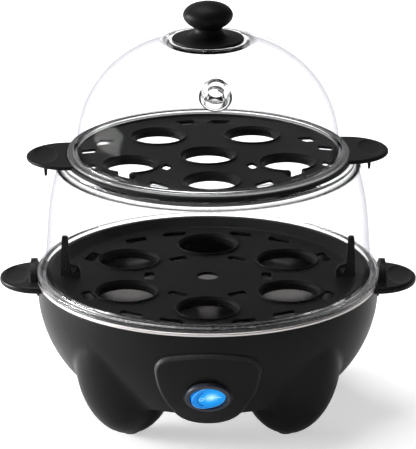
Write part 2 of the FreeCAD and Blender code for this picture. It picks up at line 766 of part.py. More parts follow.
def electrics():
    """Terminal block, buzzer and the insulated leads between them."""
    floor = floor_top()
    block = box("block", "4 * block_step", "10", "11", V(BLOCK_LEFT, BLOCK_REAR - 5, floor))
    slots = []
    for index in range(3):
        place = facing(V(block_slot(index), BLOCK_REAR, floor + 6), UP)
        slots.append(cylinder(f"block_slot{index}", "2.2", "6", place))
    node("terminal_block", cut("block_cut", block, slots))
    blank = cylinder("buzzer_blank", "8", "8", facing(BUZZER + V(0, 0, floor), UP))
    can = rounded("buzzer_can", blank, [TOP_EDGE], 1.0)
    sound_hole = cylinder("buzzer_sound_hole", "1.2", "3", facing(BUZZER + V(0, 0, floor + 6), UP))
    node("buzzer", cut("buzzer_cut", can, [sound_hole]))


def block_slot(index):
    """How far across each of the terminal block's three slots lies."""
    return BLOCK_LEFT + size("block_step") * (index + 1)


def lead(name, points, radius, bend):
    """One insulated lead: straight runs joined by tangent arcs of one bend radius."""
    edges = []
    start = points[0]
    for before, corner, after in zip(points, points[1:], points[2:]):
        into = (before - corner).normalize()
        out = (after - corner).normalize()
        half = into.getAngle(out) / 2
        setback = bend / math.tan(half)
        first = corner + into * setback
        last = corner + out * setback
        inward = (into + out).normalize()
        middle = corner + inward * (bend / math.sin(half) - bend)
        edges.append(Part.LineSegment(start, first).toShape())
        edges.append(Part.Arc(first, middle, last).toShape())
        start = last
    edges.append(Part.LineSegment(start, points[-1]).toShape())
    path = Part.Wire(edges)
    section = Part.Wire([Part.makeCircle(radius, points[0], points[1] - points[0])])
    item = doc.addObject("Part::Feature", name)
    item.Shape = path.makePipeShell([section], True, False)
    return item


def wires():
    """Leads from the block to the switch and the element, and one from the buzzer."""
    radius = 1.1
    bend = 1.6
    slot_floor = floor_top() + 7.4
    blades = [shifted(SWITCH, across, 0, -size("barrel_depth") - 7.2).Base for across in (-5.5, 5.5)]
    drop = size("plate_floor") - size("plate_sheet") - size("spreader_thick") - size("element_tube") - 18.4
    ends = [at(size("element_ring"), azimuth, drop) for azimuth in (60, 120)]
    starts = [V(block_slot(index), BLOCK_REAR, slot_floor) for index in range(3)]
    buzzer_start = BUZZER + V(-4, 0, floor_top() + 8.3)
    runs = [
        [starts[0], starts[0] + V(0, 0, 12), V(-44, 20, 44), V(-44, -30, 42),
         blades[0] + V(-3, 12, -2), blades[0] + V(0, 1.5, 0)],
        [starts[1], starts[1] + V(0, 0, 8), V(-36, 10, 38), V(-30, -35, 38),
         blades[1] + V(2, 16, -4), blades[1] + V(0, 1.5, 0)],
        [starts[2], starts[2] + V(0, 0, 9), V(ends[1].x, ends[1].y + 13, 31),
         ends[1] + V(0, 0, -4), ends[1]],
        [buzzer_start, V(buzzer_start.x, buzzer_start.y, 44), V(ends[0].x + 6, 40, 32),
         ends[0] + V(0, 0, -4), ends[0]],
    ]
    leads = [lead(f"lead{index}", run, radius, bend) for index, run in enumerate(runs)]
    node("wires", fused("leads", leads))


# ---------------------------------------------------------------- trays

# steam slots on one quarter of the lower tray: degrees from its front or back, turn about its own centre
LOWER_SLOTS = ((15.5, -3), (34.5, -5), (64.5, 8))
# steam slots on one half of the upper tray: degrees from the front, distance from the axis, length, turn
UPPER_SLOTS = (
    (29.5, 56, 12, 10),
    (55, 54, 12, -14),
    (75, 65.6, 7, 0),
    (100, 65, 7, 0),
    (116, 62, 9, 8),
    (172, 62, 11, 0),
    (52, 29, 6.5, 0),
)


def seat_rings(prefix, spots, radius, top):
    """Collars below the tray's floor and the funnel-shaped holes that hold the eggs' ends."""
    collars = []
    holes = []
    for index, spot in enumerate(spots):
        below = V(spot.x, spot.y, top - 4.4)
        collars.append(cylinder(f"{prefix}_collar{index}", radius + " + 1.8", "5.2", facing(below, UP)))
        below = V(spot.x, spot.y, top - 12)
        holes.append(cylinder(f"{prefix}_hole{index}", radius, "20", facing(below, UP)))
        mouth = V(spot.x, spot.y, top - 1.2)
        holes.append(cone(f"{prefix}_funnel{index}", radius + " - 0.4", radius + " + 1.3", "2.2",
                          facing(mouth, UP)))
    return collars, holes


def steam_slot(name, length, width, skew, radius, azimuth, turn, height):
    """A slanted slot through a tray, turned about its own centre."""
    slot = doc.addObject("Part::Wedge", name)
    slot.Xmin, slot.Xmax = -length / 2 - skew / 2, length / 2 - skew / 2
    slot.X2min, slot.X2max = -length / 2 + skew / 2, length / 2 + skew / 2
    slot.Ymin, slot.Ymax = -width / 2, width / 2
    slot.Zmin, slot.Zmax = -10, 10
    slot.Z2min, slot.Z2max = -10, 10
    swing = FreeCAD.Rotation(UP, azimuth + 90 + turn)
    slot.Placement = FreeCAD.Placement(at(radius, azimuth, height), swing)
    return slot


def softened_slot(name, length, width, skew, radius, azimuth, turn, height, corner):
    """A steam slot whose four upright edges are rounded."""
    slot = steam_slot(name + "_blank", length, width, skew, radius, azimuth, turn, height)
    return rounded(name, slot, upright_edges(slot), corner)


def lower_tray():
    """Black tray with six egg seats, steam slots and two lifting posts."""
    top = size("tray_floor_top")
    plate = turned("lower_plate", [
        ("0", "tray_floor_top - tray_thick"),
        ("tray_floor_radius", "tray_floor_top - tray_thick"),
        ("tray_rim_radius - 3.4", "plate_rim_top + rest_gap"),
        ("tray_rim_radius", "plate_rim_top + rest_gap"),
        ("tray_rim_radius", "tray_rim_top - 0.6"),
        ("tray_rim_radius - 0.6", "tray_rim_top", "0.6", "left"),
        ("tray_rim_radius - 3", "tray_rim_top"),
        ("tray_floor_radius + 0.8", "tray_floor_top + 1.2"),
        ("tray_floor_radius - 2", "tray_floor_top", "3.4", "right"),
        ("0", "tray_floor_top"),
    ])
    spots = [at(size("lower_seat_pitch"), FRONT + 60 * index, top) for index in range(6)]
    collars, holes = seat_rings("lower_seat", spots, "seat_radius", top)
    slots = []
    for face in (FRONT, REAR):
        for side in (-1, 1):
            for offset, turn in LOWER_SLOTS:
                place = face + side * offset
                slots.append(softened_slot(f"lower_slot{len(slots)}", 13.5, 6.2, 3.0 * side, 71, place,
                                           turn * side, top, 1.6))
    for index in range(6):
        azimuth = FRONT + 30 + 60 * index
        slots.append(softened_slot(f"lower_inner_slot{index}", 11, 5.6, 0, 32, azimuth, 0, top, 1.6))
    slots.append(cylinder("lower_centre_hole", "6", "20", facing(V(0, 0, top - 10), UP)))
    posts = [lifting_post(side) for side in (-1, 1)]
    whole = fused("lower_whole", [plate] + collars + posts)
    node("lower_tray", cut("lower_cut", whole, holes + slots))


def lifting_post(side):
    """A tapered upright finger with a rounded lug at its foot and a small window in the lug."""
    name = "left_post" if side < 0 else "right_post"
    turn = FreeCAD.Placement(V(), FreeCAD.Rotation(UP, 180 if side < 0 else 0))
    finger = padded(name + "_finger", "XZ_Plane", [
        ("post_place - 3.4", "tray_floor_top - 1"),
        ("post_place + 2.6", "tray_floor_top - 1"),
        ("post_place + 1.6", "post_top - 1"),
        ("post_place + 0.7", "post_top", "1", "left"),
        ("post_place - 0.9", "post_top"),
        ("post_place - 1.8", "post_top - 1", "1", "left"),
        ("post_place - 2.6", "tray_floor_top + 8"),
        ("post_place - 4.4", "tray_floor_top + 7", "4", "right"),
        ("post_place - 8.2", "tray_floor_top + 3.2", "4", "left"),
        ("post_place - 8.2", "tray_floor_top - 1"),
    ], "3.2")
    window = padded(name + "_window", "XZ_Plane", [
        ("post_place - 6.2", "tray_floor_top + 5"),
        ("post_place - 4.6", "tray_floor_top + 1.8"),
        ("post_place - 3", "tray_floor_top + 5"),
    ], "8")
    finger.Placement = turn
    window.Placement = turn
    return cut(name, finger, [window])


def upper_tray():
    """Black tray with six egg seats, steam slots, two oval grips and their locating pegs."""
    top = size("upper_floor_top")
    plate = turned("upper_plate", [
        ("0", "upper_floor_top - tray_thick"),
        ("mouth_radius - 2.4", "upper_floor_top - tray_thick"),
        ("mouth_radius - 2.4", "shell_top - 4"),
        ("mouth_radius - 0.5", "shell_top - 4"),
        ("mouth_radius - 0.5", "shell_top + rest_gap"),
        ("upper_rim_radius", "shell_top + rest_gap"),
        ("upper_rim_radius", "upper_rim_top - 0.6"),
        ("upper_rim_radius - 0.6", "upper_rim_top", "0.6", "left"),
        ("upper_floor_radius + 1.6", "upper_rim_top"),
        ("upper_floor_radius", "upper_floor_top"),
        ("0", "upper_floor_top"),
    ])
    spots = [V(0, 0, top)] + [at(size("upper_seat_pitch"), FRONT + 72 * index, top) for index in range(5)]
    collars, holes = seat_rings("upper_seat", spots, "upper_seat_radius", top)
    slots = []
    for side in (-1, 1):
        for offset, radius, length, turn in UPPER_SLOTS:
            slots.append(softened_slot(f"upper_slot{len(slots)}", length, 7.2, 3.6 * side, radius,
                                       FRONT + side * offset, turn * side, top, 1.2))
    grips = []
    for side in (-1, 1):
        name = f"upper_grip{side + 1}"
        place = V(side * size("upper_grip_place"), 0, size("upper_grip_foot"))
        blank = cylinder(name + "_blank", "grip_radius", "upper_grip_thick", facing(place, UP))
        grip = rounded(name, blank, [FOOT_EDGE, TOP_EDGE], 1.1)
        dish = thumb_dish(name + "_dish", 0.9, V(side * 87.5, 0, place.z + size("upper_grip_thick")))
        hub = cylinder(name + "_hub", "upper_rim_radius - 1", "20", facing(V(0, 0, place.z - 10), UP))
        peg = cone(name + "_peg", "0.7", "1.4", "10", facing(V(side * 87.2, 0, place.z - 9.4), UP))
        whole_grip = fused(name + "_whole", [cut(name + "_cut", grip, [dish, hub]), peg])
        whole_grip.Placement.Rotation = FreeCAD.Rotation(UP, size("upper_grip_turn"))
        grips.append(whole_grip)
    whole = cut("upper_cut", fused("upper_whole", [plate] + collars + grips), holes + slots)
    whole.Placement.Rotation = FreeCAD.Rotation(UP, size("upper_turn"))
    node("upper_tray", whole)


# ---------------------------------------------------------------- clear shell, lid and knob

def middle_shell():
    """Clear wall of the lower chamber with its foot flange, shoulder and top ring."""
    low = "plate_rim_top + rest_gap"
    node("middle_shell", turned("shell", [
        ("tray_rim_radius + 0.4", low),
        ("flange_radius", low),
        ("flange_radius", "flange_top - 0.7"),
        ("flange_radius - 0.7", "flange_top", "0.7", "left"),
        ("shell_foot_radius + 1.4", "flange_top"),
        ("shell_foot_radius", "flange_top + 1.6", "1.6", "right"),
        ("shell_bend_radius", "shell_bend_height"),
        ("shoulder_radius", "shoulder_height", "125", "left"),
        ("shell_top_radius + 0.8", "shell_top - 2", "3.6", "left"),
        ("shell_top_radius", "shell_top - 1.6"),
        ("shell_top_radius", "shell_top - 0.5"),
        ("shell_top_radius - 0.5", "shell_top", "0.5", "left"),
        ("mouth_radius", "shell_top"),
        ("mouth_radius", "shell_top - clear_wall"),
        ("shell_top_radius - 0.4", "shell_top - clear_wall - 1.6"),
        ("shoulder_radius - clear_wall", "shoulder_height - 0.6", "3.2", "right"),
        ("shell_bend_radius - clear_wall", "shell_bend_height", "123", "right"),
        ("shell_foot_radius - clear_wall", "flange_top + 1.6"),
    ]))


def lid():
    """Clear dome with its foot flange, steam vent and the recessed seat of the knob."""
    low = "upper_rim_top + rest_gap"
    dome = turned("dome", [
        ("dome_radius - clear_wall", low),
        ("lid_flange_radius", low),
        ("lid_flange_radius", low + " + lid_flange_thick - 0.4"),
        ("lid_flange_radius - 0.4", low + " + lid_flange_thick", "0.4", "left"),
        ("dome_radius + 0.8", low + " + lid_flange_thick"),
        ("dome_radius", low + " + lid_flange_thick + 0.9", "0.9", "right"),
        ("dome_radius", "dome_spring"),
        ("crown_radius", "crown_height", "dome_side_arc", "left"),
        ("collar_radius", "crown_seat + collar_rise + 0.1"),
        ("collar_radius - 1", "crown_seat + collar_rise"),
        ("collar_radius - 1.6", "crown_seat"),
        ("screw_radius + 0.3", "crown_seat"),
        ("screw_radius + 0.3", "crown_seat - clear_wall"),
        ("collar_radius - 1", "crown_seat - clear_wall"),
        ("collar_radius + 0.4", "crown_seat - clear_wall + 0.6"),
        ("crown_radius - 0.4", "crown_height - clear_wall"),
        ("dome_radius - clear_wall", "dome_spring", "dome_side_arc - clear_wall", "right"),
    ])
    rise = math.asin((size("vent_height") - size("dome_spring")) / size("dome_side_arc"))
    reach = size("dome_radius") - size("dome_side_arc") * (1 - math.cos(rise))
    azimuth = FRONT + 4.0
    outward = at(math.cos(rise), azimuth, math.sin(rise))
    mouth = at(reach, azimuth, size("vent_height"))
    tube = rounded("vent_soft", cylinder("vent_tube", "vent_radius", "vent_proud + 3",
                                         facing(mouth - outward * 3, outward)), [TOP_EDGE], 2.3)
    inside = turned("dome_inside", [
        ("0", low),
        ("dome_radius - clear_wall", low),
        ("dome_radius - clear_wall", "dome_spring"),
        ("crown_radius - 0.4", "crown_height - clear_wall", "dome_side_arc - clear_wall", "left"),
        ("0", "crown_height - clear_wall"),
    ])
    bore = cylinder("vent_hole", "vent_bore", "40", facing(mouth - outward * 20, outward))
    stub = cut("vent_stub", tube, [inside])
    node("lid_dome", cut("lid", fused("lid_whole", [dome, stub]), [bore]))


def knob():
    """Mushroom knob on a wide skirt, held from inside by a washer and a screw."""
    node("knob", turned("knob_turned", [
        ("screw_radius", "crown_seat"),
        ("skirt_radius - 0.4", "crown_seat"),
        ("skirt_radius", "crown_seat + 0.4"),
        ("skirt_radius", "crown_seat + 1.3"),
        ("skirt_radius - 0.7", "crown_seat + 1.9", "0.7", "left"),
        ("neck_radius + 5", "crown_seat + 2.6", "40", "right"),
        ("neck_radius", "knob_middle - 7", "5.2", "right"),
        ("neck_radius + 0.9", "knob_middle - 5.9", "2", "right"),
        ("knob_radius - 1.3", "knob_middle - 3.2", "8.6", "left"),
        ("knob_radius", "knob_middle", "4.9", "left"),
        ("knob_radius - 1.3", "knob_middle + 3", "4.6", "left"),
        ("knob_radius - 3.9", "knob_middle + 5", "8", "left"),
        ("0.6", "knob_top", "22.5", "left"),
        ("0", "knob_top"),
        ("0", "crown_seat + 12"),
        ("screw_radius", "crown_seat + 12"),
    ]))
    under = size("crown_seat") - size("clear_wall")
    washer = cylinder("washer_disc", "9", "1.2", facing(V(0, 0, under - 1.2), UP))
    hole = cylinder("washer_hole", "screw_radius + 0.3", "3", facing(V(0, 0, under - 2), UP))
    node("knob_washer", cut("washer", washer, [hole]))
    head = cylinder("screw_blank", "4", "2.4", facing(V(0, 0, under - 3.6), UP))
    shank = cylinder("screw_shank", "screw_radius - 0.05", "14", facing(V(0, 0, under - 1.4), UP))
    node("knob_screw", fused("knob_fixing", [rounded("screw_head", head, [FOOT_EDGE], 1.0), shank]))


# ---------------------------------------------------------------- build, test and write

base_housing()
foot_pads()
bottom_cover()
front_panel()
switch()
base_handles()
cord_gland()
heating_plate()
heater()
thermostat()
plate_fixings()
electrics()
wires()
lower_tray()
middle_shell()
upper_tray()
lid()
knob()
doc.recompute()

failed = [item.Name for item in doc.Objects if {"Invalid", "Error"} & set(item.State)]
for name, item in nodes.items():
    if item.Shape.isNull() or not item.Shape.isValid() or not item.Shape.Solids:
        failed.append(name)
if failed:
    raise RuntimeError("failed: " + ", ".join(failed))
os.makedirs("parts", exist_ok=True)
for name, item in nodes.items():
    item.Shape.exportStep(f"parts/{name}.step")
    print(name, len(item.Shape.Solids), round(item.Shape.Volume))
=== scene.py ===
import math

import bmesh
import bpy
from mathutils import Matrix, Vector


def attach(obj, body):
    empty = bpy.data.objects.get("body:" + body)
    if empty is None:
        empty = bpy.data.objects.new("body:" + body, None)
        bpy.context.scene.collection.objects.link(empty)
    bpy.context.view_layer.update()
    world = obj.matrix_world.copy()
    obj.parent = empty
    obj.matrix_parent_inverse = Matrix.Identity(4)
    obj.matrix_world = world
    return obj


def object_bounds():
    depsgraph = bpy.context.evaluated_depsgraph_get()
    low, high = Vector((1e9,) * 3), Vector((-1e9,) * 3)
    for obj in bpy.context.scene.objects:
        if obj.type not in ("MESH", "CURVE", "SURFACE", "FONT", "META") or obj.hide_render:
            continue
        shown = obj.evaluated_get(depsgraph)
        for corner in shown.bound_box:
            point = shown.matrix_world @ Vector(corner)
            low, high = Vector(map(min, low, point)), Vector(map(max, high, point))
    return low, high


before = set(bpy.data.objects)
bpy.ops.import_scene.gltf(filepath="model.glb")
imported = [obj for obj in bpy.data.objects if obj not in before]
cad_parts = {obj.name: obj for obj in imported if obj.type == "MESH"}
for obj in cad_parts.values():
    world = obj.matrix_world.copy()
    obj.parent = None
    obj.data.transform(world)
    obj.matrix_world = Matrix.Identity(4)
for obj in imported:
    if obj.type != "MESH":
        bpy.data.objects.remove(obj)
cad_low, cad_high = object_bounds()

MM = 0.001
scene = bpy.context.scene
scene.view_settings.view_transform = "Standard"
# light passes many clear walls one behind another
scene.cycles.max_bounces = 28
scene.cycles.transmission_bounces = 28
scene.cycles.transparent_max_bounces = 32
scene.cycles.sample_clamp_indirect = 4.0


# ---------------------------------------------------------------- small helpers for shader trees

# the part of a noise value's range that shows
NOISE_LOW = 0.3
NOISE_HIGH = 0.7
# agreement of the rounded and the true normal at a full edge and on an open face
SHARP = 0.72
FLAT = 0.985


def put(tree, socket, value):
    """Links value if it is a socket, and otherwise sets it as the socket's own value."""
    if isinstance(value, bpy.types.NodeSocket):
        tree.links.new(value, socket)
    elif isinstance(value, tuple) and len(value) == 3 and socket.type == "RGBA":
        socket.default_value = (*value, 1.0)
    else:
        socket.default_value = value


def add(tree, kind, inputs=None, **settings):
    """A shader node of that kind with its settings and inputs filled in."""
    item = tree.nodes.new("ShaderNode" + kind)
    for name, value in settings.items():
        setattr(item, name, value)
    for name, value in (inputs or {}).items():
        put(tree, item.inputs[name], value)
    return item


def blank(name):
    """A new node material, its tree and its main shader."""
    made = bpy.data.materials.new(name)
    made.use_nodes = True
    return made, made.node_tree, made.node_tree.nodes["Principled BSDF"]


def place_of(tree):
    return add(tree, "TexCoord").outputs["Object"]


def noise(tree, place, scale, detail=2.0, roughness=0.5):
    inputs = {"Vector": place, "Scale": scale, "Detail": detail, "Roughness": roughness}
    return add(tree, "TexNoise", inputs).outputs["Fac"]


def spread(tree, value, low, high, new_low, new_high):
    """Maps value from low..high to new_low..new_high, clamped."""
    inputs = {"Value": value, "From Min": low, "From Max": high, "To Min": new_low, "To Max": new_high}
    return add(tree, "MapRange", inputs).outputs["Result"]


def swing(tree, value, low, high):
    """Maps the middle of a noise value's range to low..high, clamped."""
    return spread(tree, value, NOISE_LOW, NOISE_HIGH, low, high)


def sums(tree, operation, first, second):
    """The result of one arithmetic operation on two values."""
    item = add(tree, "Math", operation=operation)
    put(tree, item.inputs[0], first)
    put(tree, item.inputs[1], second)
    return item.outputs[0]


def mixed(tree, share, first, second):
    """First colour at share 0 and second colour at share 1."""
    item = add(tree, "Mix", data_type="RGBA", blend_type="MIX")
    put(tree, item.inputs[0], share)
    put(tree, item.inputs[6], first)
    put(tree, item.inputs[7], second)
    return item.outputs[2]


def mixed_shaders(tree, share, first, second):
    """First shader at share 0 and second shader at share 1."""
    item = add(tree, "MixShader")
    put(tree, item.inputs[0], share)
    put(tree, item.inputs[1], first)
    put(tree, item.inputs[2], second)
    return item.outputs[0]


def distance(tree, place, centre):
    """How far place is from centre."""
    away = add(tree, "VectorMath", operation="DISTANCE")
    put(tree, away.inputs[0], place)
    away.inputs[1].default_value = centre
    return away.outputs["Value"]


def scaled(colour, factor):
    """The colour made lighter or darker, kept at 1 or less."""
    return tuple(min(1.0, factor * part) for part in colour)


def edge_mask(tree, radius, sharp=SHARP):
    """1 along sharp edges and 0 on open faces, and the normal that rounds those edges."""
    soft = add(tree, "Bevel", {"Radius": radius}, samples=4).outputs["Normal"]
    true = add(tree, "NewGeometry").outputs["Normal"]
    match = add(tree, "VectorMath", operation="DOT_PRODUCT")
    put(tree, match.inputs[0], soft)
    put(tree, match.inputs[1], true)
    return spread(tree, match.outputs["Value"], sharp, FLAT, 1.0, 0.0), soft


# ---------------------------------------------------------------- materials

def plastic(name, colour, roughness, level, grain=2600.0, depth=0.000012,
            wear_and_highlight=0.35, edge=0.0006, sharp=SHARP, wear_and_highlight_lift=0.012):
    """Moulded plastic: fine grain, a slow drift of sheen and tone, and edges made lighter, a little as
    rubbed wear, and on the panel strongly, as a painted highlight along its bevel.
    """
    made, tree, shader = blank(name)
    place = place_of(tree)
    mask, soft = edge_mask(tree, edge, sharp)
    drift = noise(tree, place, 34.0, 4.0, 0.6)
    fine = noise(tree, place, grain, 3.0)
    darker = scaled(colour, 0.86)
    lighter = scaled(colour, 1.14)
    # edges turn this lighter colour: real rubbed wear at small settings, a painted highlight at the panel's
    # large ones
    worn_and_highlit_edge = tuple(min(1.0, 2.3 * part + wear_and_highlight_lift) for part in colour)
    tone = mixed(tree, swing(tree, drift, 0.0, 1.0), darker, lighter)
    put(tree, shader.inputs["Base Color"], mixed(tree, sums(tree, "MULTIPLY", mask, wear_and_highlight), tone, worn_and_highlit_edge))
    sheen = swing(tree, drift, roughness - 0.035, roughness + 0.035)
    sheen = sums(tree, "ADD", sheen, swing(tree, fine, -0.03, 0.03))
    put(tree, shader.inputs["Roughness"], sums(tree, "SUBTRACT", sheen, sums(tree, "MULTIPLY", mask, 0.08)))
    shader.inputs["Specular IOR Level"].default_value = level
    bump = add(tree, "Bump", {"Strength": 0.6, "Distance": depth, "Height": fine, "Normal": soft})
    put(tree, shader.inputs["Normal"], bump.outputs["Normal"])
    return made


def clear(name, low_thick, high_thick, beads=()):
    """Clear polished plastic: thin walls hardly show, and solid rims and beads bend the light.

    Below low_thick and above high_thick, heights in metres, the plastic is solid, and so is it
    inside each bead, a centre and a radius.
    """
    made, tree, shader = blank(name)
    place = place_of(tree)
    flow = noise(tree, place, 26.0, 2.0)
    polish = swing(tree, flow, 0.03, 0.06)
    bump = add(tree, "Bump", {"Strength": 0.2, "Distance": 0.00005, "Height": flow})
    shader.inputs["Base Color"].default_value = (0.985, 0.99, 0.995, 1.0)
    shader.inputs["Transmission Weight"].default_value = 1.0
    shader.inputs["IOR"].default_value = 1.45
    put(tree, shader.inputs["Roughness"], polish)
    put(tree, shader.inputs["Normal"], bump.outputs["Normal"])
    slope = add(tree, "LayerWeight", {"Blend": 0.5}).outputs["Facing"]
    veil = mixed(tree, spread(tree, slope, 0.55, 1.0, 0.0, 1.0), CLEAR_FACE, CLEAR_EDGE)
    pane = add(tree, "BsdfTransparent", {"Color": veil})
    mirror = add(tree, "BsdfGlossy", {"Roughness": polish, "Normal": bump.outputs["Normal"]})
    outside = sums(tree, "SUBTRACT", 1.0, add(tree, "NewGeometry").outputs["Backfacing"])
    gleam = sums(tree, "ADD", 0.003, sums(tree, "MULTIPLY", 0.13, sums(tree, "POWER", slope, 5.0)))
    share = sums(tree, "MULTIPLY", gleam, outside)
    wall = mixed_shaders(tree, share, pane.outputs[0], mirror.outputs[0])
    height = add(tree, "SeparateXYZ", {"Vector": place}).outputs["Z"]
    solid = sums(tree, "MAXIMUM", spread(tree, height, low_thick, low_thick + 0.001, 1.0, 0.0),
                 spread(tree, height, high_thick - 0.001, high_thick, 0.0, 1.0))
    for centre, radius in beads:
        inside = spread(tree, distance(tree, place, centre), radius - 0.0005, radius, 1.0, 0.0)
        solid = sums(tree, "MAXIMUM", solid, inside)
    body = mixed_shaders(tree, solid, wall, shader.outputs[0])
    # lamps and bounced light pass straight through, so that the plastic casts no black shadow
    path = add(tree, "LightPath")
    through = sums(tree, "MAXIMUM", path.outputs["Is Shadow Ray"], path.outputs["Is Diffuse Ray"])
    lit = add(tree, "BsdfTransparent", {"Color": (0.975, 0.98, 0.985)})
    blend = mixed_shaders(tree, through, body, lit.outputs[0])
    put(tree, tree.nodes["Material Output"].inputs["Surface"], blend)
    return made


def ring_grain(tree, place, scale):
    """Fine rings round the object's axis, as spinning and polishing leave on a pressed dish."""
    flat = add(tree, "VectorMath", operation="MULTIPLY")
    put(tree, flat.inputs[0], place)
    flat.inputs[1].default_value = (1.0, 1.0, 0.0)
    reach = add(tree, "VectorMath", operation="LENGTH")
    put(tree, reach.inputs[0], flat.outputs[0])
    parts = add(tree, "SeparateXYZ", {"Vector": place})
    line = add(tree, "CombineXYZ", {"X": reach.outputs["Value"], "Y": parts.outputs["Z"]})
    return noise(tree, line.outputs[0], scale, 3.0, 0.6)


def metal(name, colour, roughness, rings=0.0, grain=900.0, depth=0.000006):
    """Bare or plated metal with a drift of tone; rings above 0 adds spun lines."""
    made, tree, shader = blank(name)
    place = place_of(tree)
    mask, soft = edge_mask(tree, 0.0004)
    drift = noise(tree, place, 45.0, 4.0, 0.6)
    fine = noise(tree, place, grain, 3.0)
    if rings > 0:
        lines = ring_grain(tree, place, 2600.0)
        fine = mixed(tree, rings, fine, lines)
    darker = scaled(colour, 0.88)
    tone = mixed(tree, swing(tree, drift, 0.0, 1.0), darker, colour)
    bright = scaled(colour, 1.2)
    put(tree, shader.inputs["Base Color"], mixed(tree, sums(tree, "MULTIPLY", mask, 0.5), tone, bright))
    shader.inputs["Metallic"].default_value = 1.0
    put(tree, shader.inputs["Roughness"], swing(tree, fine, roughness - 0.06, roughness + 0.06))
    bump = add(tree, "Bump", {"Strength": 0.5, "Distance": depth, "Height": fine, "Normal": soft})
    put(tree, shader.inputs["Normal"], bump.outputs["Normal"])
    return made


def lit_lens(name, centre, deep, bright, core, strength):
    """Translucent lens lit from behind: near white over the lamp, falling to deep blue at the rim."""
    made, tree, shader = blank(name)
    place = place_of(tree)
    cloud = noise(tree, place, 420.0, 3.0)
    reach = sums(tree, "ADD", distance(tree, place, centre), swing(tree, cloud, -0.0004, 0.0004))
    inner = spread(tree, reach, 0.0006, 0.0046, 1.0, 0.0)
    outer = spread(tree, reach, 0.0030, 0.0092, 1.0, 0.0)
    glow = mixed(tree, outer, deep, bright)
    glow = mixed(tree, sums(tree, "POWER", inner, 1.5), glow, core)
    shader.inputs["Base Color"].default_value = (0.01, 0.13, 0.42, 1.0)
    mask, _ = edge_mask(tree, 0.0005, 0.9)
    glow = mixed(tree, sums(tree, "MULTIPLY", mask, 0.6), glow, core)
    put(tree, shader.inputs["Emission Color"], glow)
    shader.inputs["Specular IOR Level"].default_value = 0.14
    shader.inputs["Emission Strength"].default_value = strength
    put(tree, shader.inputs["Roughness"], swing(tree, cloud, 0.10, 0.18))
    bump = add(tree, "Bump", {"Strength": 0.3, "Distance": 0.00003, "Height": cloud})
    put(tree, shader.inputs["Normal"], bump.outputs["Normal"])
    return made


# ---------------------------------------------------------------- where the rocker sits

# where the switch sits on the bowl's front: lengths in mm and angles in radians
SWITCH_HEIGHT = 37.5
SWITCH_TILT = math.radians(33.5)
BOWL_ARC_REACH = 27.7
BOWL_ARC_HEIGHT = 69.0
PANEL_ARC = 67.0
ROCKER_PIVOT_DEPTH = 1.0
ROCKER_FACE = 2.4
ROCKER_DIP_RADIUS = 46.0
ROCKER_DIP_DEPTH = 0.8
# the rocker rests tipped by this much, with its on side pressed
PRESSED = math.radians(10.0)


def rocker_place():
    """Matrix from the rocker's own frame, x across, y up the panel and z outwards, in mm, to the scene."""
    fall = math.asin((BOWL_ARC_HEIGHT - SWITCH_HEIGHT) / PANEL_ARC)
    reach = BOWL_ARC_REACH + PANEL_ARC * math.cos(fall)
    out = Vector((0, -math.cos(SWITCH_TILT), -math.sin(SWITCH_TILT)))
    across = Vector((1, 0, 0))
    up = out.cross(across)
    middle = Vector((0, -reach, SWITCH_HEIGHT)) - out * ROCKER_PIVOT_DEPTH
    turn = Matrix((across, up, out)).transposed().to_4x4()
    return (Matrix.Scale(MM, 4) @ Matrix.Translation(middle) @ turn
            @ Matrix.Rotation(PRESSED, 4, "Y"))


ROCKER = rocker_place()

# ---------------------------------------------------------------- one material for each finish

# tint of a clear wall seen straight on and seen edge on
CLEAR_FACE = (0.985, 0.985, 0.988)
CLEAR_EDGE = (0.74, 0.74, 0.76)
# centre and radius of the steam vent and of the knob's raised seat, where the dome's plastic is solid
VENT_BEAD = ((0.0041, -0.0575, 0.1946), 0.0105)
KNOB_SEAT = ((0.0, 0.0, 0.2060), 0.0225)

# heights between which the clear walls are thin, in metres
SHELL_THIN = (0.0785, 0.1385)
DOME_THIN = (0.1462, 0.2072)
# the brightest spot behind the rocker's face, and the lamp itself
LENS_CENTRE = tuple(ROCKER @ Vector((1.4, 0.3, 1.6)))
LAMP_CENTRE = tuple(ROCKER @ Vector((0, 0, -6.0)))

